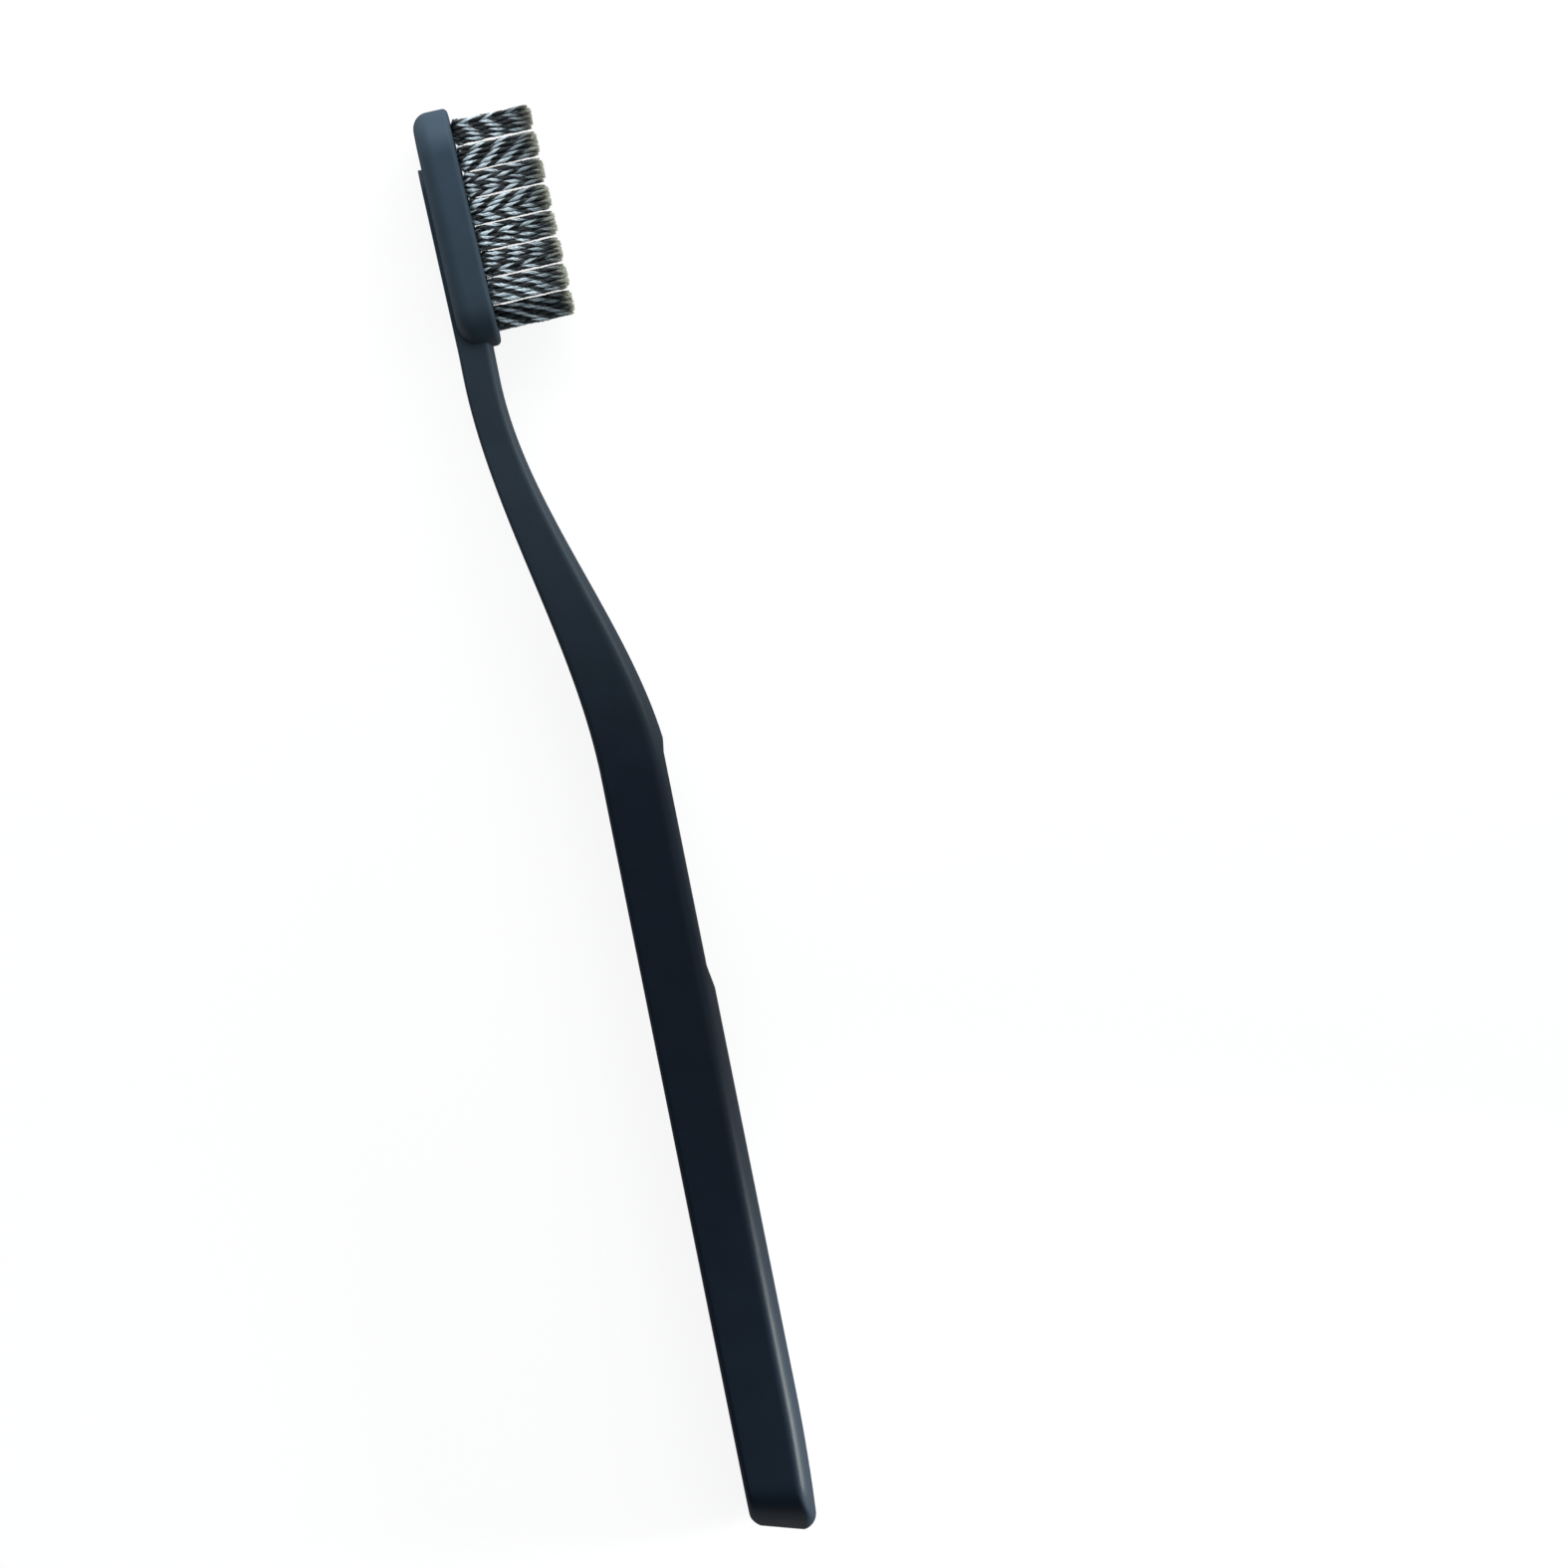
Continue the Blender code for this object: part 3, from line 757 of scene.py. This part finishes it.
# %% [markdown]
# A bundle has one dark filament on its axis and six round it. The finish of a filament is a
# material slot, so it is set on the filament before it is copied. Two bundles are twisted to
# the left, one with three white filaments side by side and one with two.
#
# Chance plays a part here, in the length of each filament. The dice start from a fixed
# number, so every run of the script throws the same.

# %% Twist the bundles to the left
RING_RADIUS, RING_COUNT, TRIM_ERROR = 0.0002, 6, 0.0003
dice = random.Random(7)


def bundle(name, pitch, whites):
    """Filaments round an axis, twisted to the left once in each pitch."""
    strands = []
    for index in range(RING_COUNT + 1):
        strand = copied(filament, f"{name}_{index}")
        strand.data.materials.append(light_nylon if index in whites else dark_nylon)
        strand.location.z = -dice.uniform(0, TRIM_ERROR)
        if index:
            angle = math.tau * index / RING_COUNT
            strand.location.x = RING_RADIUS * math.cos(angle)
            strand.location.y = RING_RADIUS * math.sin(angle)
        strands.append(strand)
    rope = joined(strands, name)
    turns = -rope.dimensions.z / pitch
    use_modifier(
        rope, "SIMPLE_DEFORM", deform_method="TWIST", deform_axis="Z", angle=math.tau * turns
    )
    return rope


left_bundles = [bundle("left_1", 0.0028, (1, 2, 3)), bundle("left_2", 0.0031, (1, 2))]
told(left_bundles[0])

# %% [markdown]
# Most bundles in the brush turn to the right. A mirrored copy does that without a second
# twist. A mirror turns faces inside out, so they are told to look outwards again.


# %% Mirror the bundles
def mirrored(rope, name):
    """A copy of a bundle that turns the other way."""
    other = copied(rope, name)
    take(other)
    bpy.ops.transform.mirror(orient_type="GLOBAL", constraint_axis=(True, False, False))
    settle(other, name)
    bpy.ops.object.mode_set(mode="EDIT")
    bpy.ops.mesh.select_all(action="SELECT")
    bpy.ops.mesh.normals_make_consistent(inside=False)
    bpy.ops.object.mode_set(mode="OBJECT")
    return other


right_bundles = [mirrored(rope, f"right_{index}") for index, rope in enumerate(left_bundles)]
told(right_bundles[0])

# %% [markdown]
# A tuft is a brick pattern of bundles: five lanes along the head, four in the middle layer,
# and three layers across it. So the tufts of a row close up to one band, with a straight
# narrow slit to the next row. Each bundle is turned a bit further than its neighbour, so the
# white flashes line up in slanting ranks, as crimped filaments from one hank do. The outer
# lanes are shorter, so each row has rounded corners.
#
# Small errors of place, height and turn keep the bundles from looking set out by a machine.

# %% Helper that gathers bundles
LANES, LAYERS, LANE_PITCH, LAYER_PITCH = 5, 3, 0.00065, 0.00074
LANE_ERROR, HEIGHT_ERROR, TURN_ERROR, CORNER_DROP = 4e-5, 0.0001, 20, 0.0003


def gather(name, left_share, rank):
    """Bundles side by side. The rank is the turn, in degrees, from one lane to the next."""
    ropes = []
    for layer in range(LAYERS):
        lanes = LANES - layer % 2
        for lane in range(lanes):
            source = dice.choice(left_bundles if dice.random() < left_share else right_bundles)
            rope = copied(source, f"{name}_{layer}_{lane}")
            off_middle = lane - (lanes - 1) / 2
            drop = CORNER_DROP if abs(off_middle) == LANES // 2 else 0
            rope.location.x = off_middle * LANE_PITCH + dice.uniform(-LANE_ERROR, LANE_ERROR)
            rope.location.y = (layer - (LAYERS - 1) / 2) * LAYER_PITCH
            rope.location.z = -dice.uniform(0, HEIGHT_ERROR) - drop
            turn = rank * lane + dice.uniform(-TURN_ERROR, TURN_ERROR)
            rope.rotation_euler.z = math.radians(turn)
            ropes.append(rope)
    return joined(ropes, name)


# %% [markdown]
# A Displace modifier with a clouds texture sways the filaments a little together. It reads
# global places, so each tuft is pushed along to its own stretch of the clouds and then back.
# At the root the tuft is drawn in to fit its hole, and just above the head it swells a
# little, so that no gap is left between the feet of two tufts. The trimmed ends of all tufts
# lie at one height.

# %% Helper that finishes a tuft
ROOT_SHARE, FLARE_FROM, FLARE_LONG = 0.6, -0.0005, 0.0006
FOOT_SHARE, FOOT_FROM, FOOT_LONG = 1.07, 0.0005, 0.0011
SWAY, SWAY_SIZE, SWAY_SHIFT = 0.0004, 0.0016, 0.02
clouds = bpy.data.textures.new("sway", "CLOUDS")
clouds.cloud_type = "COLOR"
clouds.noise_scale = SWAY_SIZE


def tuft(name, left_share, rank, number):
    """A tuft that stands on its site. The number picks its own stretch of the clouds."""
    whole = gather(name, left_share, rank)
    whole.location = (SWAY_SHIFT * number, 0, 0)
    use_modifier(
        whole,
        "DISPLACE",
        texture=clouds,
        texture_coords="GLOBAL",
        direction="RGB_TO_XYZ",
        strength=SWAY,
    )
    whole.location = (0, 0, 0)
    highest = max(vert.co.z for vert in whole.data.vertices)
    for vert in whole.data.vertices:
        foot = mix(FOOT_SHARE, 1.0, ease(vert.co.z, FOOT_FROM, FOOT_LONG))
        spread = mix(ROOT_SHARE, foot, ease(vert.co.z, FLARE_FROM, FLARE_LONG))
        vert.co.x *= spread
        vert.co.y *= spread
        vert.co.z -= highest - BRISTLE_LONG
    return whole


# %% [markdown]
# Eight different tufts are enough for a head that doesn't look stamped. Each has its own
# share of bundles that turn left, and its own rank. Later they are dealt out so that no two
# neighbours are alike.

# %% Model the tufts
TUFT_LOOKS = (
    (0.3, 60),
    (1.0, 85),
    (0.2, -30),
    (0.5, 140),
    (0.1, -80),
    (0.2, -60),
    (0.0, 180),
    (0.0, 170),
)
patterns = [tuft(f"pattern_{row}", *look, row) for row, look in enumerate(TUFT_LOOKS)]
told(patterns[0])

# %% [markdown]
# A pattern stands upright, with its lanes along X. The matrix that stands it in the head
# turns its height to the way the bristles point and its lanes along the brush. Every tuft is
# a copy with its own mesh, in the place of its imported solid.

# %% Set the tufts in the head
PATTERN_STEP = 3
stand = Matrix(((0, 0, 1, 0), (1, 0, 0, 0), (0, 1, 0, 0), (0, 0, 0, 1)))
for suffix, site in sites.items():
    row, column = int(suffix[1]) - 1, int(suffix[4])
    from_top = ROW_COUNTS[row] - column
    pattern = patterns[(row + PATTERN_STEP * from_top) % len(patterns)]
    bristles = copied(pattern, f"bristles_{suffix}")
    bristles.matrix_world = (
        Matrix.Translation(ORIGIN) @ head_place @ Matrix.Translation(site) @ stand
    )
    settle(bristles, f"bristles_{suffix}")
    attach(bristles, "root")
    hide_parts(f"tuft_{suffix}")
told(bristles)
for piece in patterns + left_bundles + right_bundles + [filament]:
    bpy.data.objects.remove(piece)

# %% [markdown]
# ## The anchors
#
# Each tuft is folded round a small strip of nickel silver that is driven into its hole. The
# packed anchors have the right shape already, so they only get their finish: a bare metal, a
# little warm, in an uneven tint.

# %% Finish the anchors
metal, tree, shader, effect = new_finish(
    "nickel_silver",
    patch_scale=2500.0,
    grain_scale=9000.0,
    grain_depth=0.3,
    smoothest=0.22,
    roughest=0.4,
    color=(0.62, 0.58, 0.5, 1),
    unevenness=0.5,
)
shader.inputs["Metallic"].default_value = 1.0
for suffix in sites:
    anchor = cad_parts[f"anchor_{suffix}"]
    anchor.data.materials.clear()
    anchor.data.materials.append(metal)
print("anchors:", len(sites))

# %% [markdown]
# ## The studio
#
# The camera looks down on the brush from two metres with a long lens, so the side view has
# hardly any perspective. It stands over the head, a little past the bristles, and it is turned
# so that the brush leans in the frame. The length of the lens follows from the size of one
# pixel of the square picture at the brush.

# %% Place the camera
PIXEL, PIXELS = 0.00012924, 1575
CENTRE = Vector((0.02242, 0.00053, 0.005925))
CAMERA_PLACE = Vector((0.035, 0.078, 2.0))
PICTURE_UP = Vector((0.19680, 0.98045, 0.0))
camera_data = bpy.data.cameras.new("camera")
camera = bpy.data.objects.new("camera", camera_data)
bpy.context.scene.collection.objects.link(camera)
camera.location = CAMERA_PLACE
toward = CENTRE - camera.location
back = -toward.normalized()
right = PICTURE_UP.cross(back).normalized()
upward = back.cross(right)
camera.rotation_euler = Matrix((right, upward, back)).transposed().to_euler()
camera_data.sensor_width = 36
camera_data.lens = camera_data.sensor_width * toward.length / (PIXELS * PIXEL)
camera_data.clip_end = 20
bpy.context.scene.camera = camera
bpy.context.scene.view_settings.view_transform = "Standard"
print("lens:", round(camera_data.lens), "mm")

# %% [markdown]
# Two large soft lamps light the brush, one beyond the head and one high on the bristle side.
# Two small strips lie low beside the handle, at the butt and at the bend. They graze the
# front and draw the light line on its crown. A lamp's Spread of 45 degrees keeps their light
# off the rest of the brush.


# %% Place the lamps
def lamp(name, place, aim, size, watts, tint=(1, 1, 1)):
    """An area lamp at a place that looks at an aim. Returns its settings."""
    data = bpy.data.lights.new(name, "AREA")
    data.shape = "RECTANGLE"
    data.size, data.size_y = size
    data.energy = watts
    data.color = tint
    item = bpy.data.objects.new(name, data)
    item.location = place
    item.rotation_euler = (Vector(place) - Vector(aim)).to_track_quat("Z", "Y").to_euler()
    bpy.context.scene.collection.objects.link(item)
    return data


COOL, FAINT_GREEN, STRIP_SPREAD = (0.85, 0.93, 1.0), (0.95, 1.0, 0.95), math.radians(45)
lamp("head_lamp", (0.1, 0.42, 0.2), (0, 0.08, 0), (0.5, 0.3), 2.0)
lamp("side_panel", (0.45, 0.0, 0.55), (0, 0.02, 0), (0.35, 0.5), 0.6, COOL)
for name, place, aim, size, watts in (
    ("butt_strip", (0.14, -0.092, 0.025), (0, -0.09, 0.004), (0.04, 0.05), 0.055),
    ("bend_strip", (0.14, 0.072, 0.025), (0, 0.032, 0.006), (0.05, 0.05), 0.012),
):
    lamp(name, place, aim, size, watts, FAINT_GREEN).spread = STRIP_SPREAD
print("lamps:", [light.name for light in bpy.data.lights])

# %% [markdown]
# The floor is white to the camera and to mirror-like rays, and an ordinary pale surface to
# all other light, so it stays white, still takes a soft shadow, and throws no extra light on
# the brush. A Light Path node tells the rays apart, and a Mix Shader chooses.

# %% Make the floor
SEEN_RAYS = ("Is Camera Ray", "Is Glossy Ray", "Is Transmission Ray")
FLOOR_SIZE, FLOOR_BELOW = 60, 0.00005
FLOOR_PALE, FLOOR_SHADED, FLOOR_GLOW = (0.8, 0.8, 0.8, 1), (0.18, 0.18, 0.18, 1), 0.88


def seen_directly(tree):
    """An output that is 1 for rays that see a surface directly and 0 for all others."""
    path = add_node(tree, "ShaderNodeLightPath")
    total = path.outputs[SEEN_RAYS[0]]
    for kind in SEEN_RAYS[1:]:
        largest = add_node(tree, "ShaderNodeMath", operation="MAXIMUM")
        tree.links.new(total, largest.inputs[0])
        tree.links.new(path.outputs[kind], largest.inputs[1])
        total = largest.outputs[0]
    return total


bpy.ops.object.select_all(action="DESELECT")
bpy.ops.mesh.primitive_plane_add(size=FLOOR_SIZE, location=(0, 0, -FLOOR_BELOW))
floor = settle(bpy.context.object, "floor")
pale = bpy.data.materials.new("pale_floor")
pale.use_nodes = True
tree = pale.node_tree
tree.nodes.remove(tree.nodes["Principled BSDF"])
plain = add_node(tree, "ShaderNodeBsdfDiffuse", Color=FLOOR_PALE)
shaded = add_node(tree, "ShaderNodeBsdfDiffuse", Color=FLOOR_SHADED)
glow = add_node(tree, "ShaderNodeEmission", Strength=FLOOR_GLOW)
both = add_node(tree, "ShaderNodeAddShader")
choice = add_node(tree, "ShaderNodeMixShader")
tree.links.new(seen_directly(tree), choice.inputs["Fac"])
wire(
    tree,
    (shaded, 0, both, 0),
    (glow, 0, both, 1),
    (plain, 0, choice, 1),
    (both, 0, choice, 2),
    (choice, 0, tree.nodes["Material Output"], "Surface"),
)
floor.data.materials.append(pale)
told(floor)

# %% [markdown]
# The world is a slightly cool room around the brush, brightest beyond the head, as if the
# window were there, and nearly dark behind the butt. The brush should look soft on top and
# dark at its end, and an even room would wash both out. A low view looks past the edge of the
# floor into that room. Near the horizon, and only for rays that see it directly, the room is
# as white as the floor, so no grey band shows.


# %% Make the world
def ranged(tree, *values):
    """A Map Range node. The values are From Min, From Max, To Min and To Max."""
    names = ("From Min", "From Max", "To Min", "To Max")
    return add_node(tree, "ShaderNodeMapRange", **dict(zip(names, values)))


ROOM_BEHIND, ROOM_AHEAD, ROOM_COLOUR = 0.04, 0.56, (0.9, 0.95, 1.0, 1)
WHITE_UP_TO, ROOM_FROM = 0.06, 0.1
world = bpy.data.worlds.new("studio")
world.use_nodes = True
tree = world.node_tree
room = tree.nodes["Background"]
room.inputs["Color"].default_value = ROOM_COLOUR
around = add_node(tree, "ShaderNodeTexCoord")
parts = add_node(tree, "ShaderNodeSeparateXYZ")
fall = ranged(tree, -1.0, 1.0, ROOM_BEHIND, ROOM_AHEAD)
low = ranged(tree, WHITE_UP_TO, ROOM_FROM, 1.0, 0.0)
seen = add_node(tree, "ShaderNodeMath", operation="MULTIPLY")
strength = add_node(tree, "ShaderNodeMix", B=1.0)
tree.links.new(seen_directly(tree), seen.inputs[1])
wire(
    tree,
    (around, "Generated", parts, "Vector"),
    (parts, "Y", fall, "Value"),
    (parts, "Z", low, "Value"),
    (low, "Result", seen, 0),
    (seen, "Value", strength, "Factor"),
    (fall, "Result", strength, "A"),
    (strength, "Result", room, "Strength"),
)
bpy.context.scene.world = world
print("world strength:", ROOM_BEHIND, "to", ROOM_AHEAD)
